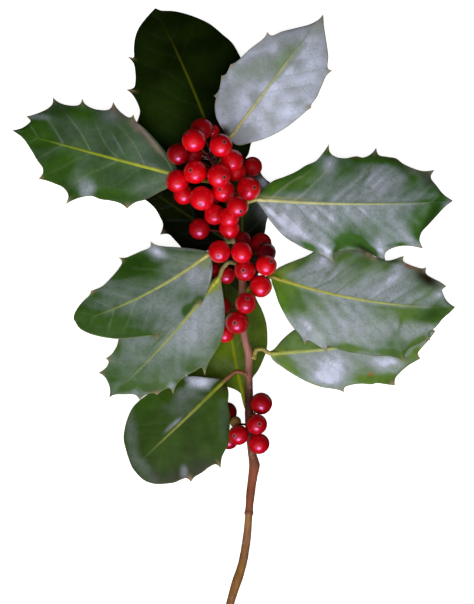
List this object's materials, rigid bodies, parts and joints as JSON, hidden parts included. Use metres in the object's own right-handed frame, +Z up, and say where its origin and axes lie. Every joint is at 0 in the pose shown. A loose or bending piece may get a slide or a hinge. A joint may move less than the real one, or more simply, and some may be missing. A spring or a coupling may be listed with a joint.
{
  "type": "holly sprig",
  "caption": "Cut sprig of holly lying flat: a slender woody twig with broad glossy spiny leaves and clusters of round red berries on short stalks.",
  "frame": {"origin": "bottom centre of the whole sprig's box, on the surface it lies on", "axes": "+Z up from the surface, +Y along the twig towards its growing end, +X to the right as seen from above"},
  "size_m": [0.1775, 0.2486, 0.039],
  "materials": {
    "bark": "satin",
    "cut_wood": "matte",
    "bud": "matte",
    "leaf": "satin",
    "berry": "gloss",
    "scar": "matte",
    "stalk": "satin"
  },
  "bodies": {
    "root": {"twig": "bark", "terminal_bud": "bud", "leaf_top_back": "leaf", "leaf_top_front": "leaf", "leaf_upper_left": "leaf", "leaf_upper_right": "leaf", "leaf_middle_right": "leaf", "leaf_lower_right": "leaf", "leaf_middle_left": "leaf", "leaf_lower_left": "leaf", "leaf_bottom_left": "leaf", "leaf_under_twig": "leaf", "leaf_under_left": "leaf", "leaf_under_right": "leaf", "berry_top_01": "berry", "berry_top_02": "berry", "berry_top_03": "berry", "berry_top_04": "berry", "berry_top_05": "berry", "berry_top_06": "berry", "berry_top_07": "berry", "berry_top_08": "berry", "berry_top_09": "berry", "berry_top_10": "berry", "berry_top_11": "berry", "berry_top_12": "berry", "berry_top_13": "berry", "berry_top_14": "berry", "berry_top_15": "berry", "berry_top_16": "berry", "berry_top_17": "berry", "berry_top_18": "berry", "berry_top_19": "berry", "berry_top_20": "berry", "berry_top_21": "berry", "berry_top_22": "berry", "berry_middle_01": "berry", "berry_middle_02": "berry", "berry_middle_03": "berry", "berry_middle_04": "berry", "berry_middle_05": "berry", "berry_middle_06": "berry", "berry_middle_07": "berry", "berry_middle_08": "berry", "berry_middle_09": "berry", "berry_middle_10": "berry", "berry_middle_11": "berry", "berry_middle_12": "berry", "berry_middle_13": "berry", "berry_middle_14": "berry", "berry_low_01": "berry", "berry_low_02": "berry", "berry_low_03": "berry", "berry_low_04": "berry", "berry_low_05": "berry", "berry_low_06": "berry", "berry_low_07": "berry", "bare_stalk_1": "stalk", "bare_stalk_2": "stalk"}
  },
  "joints": []
}
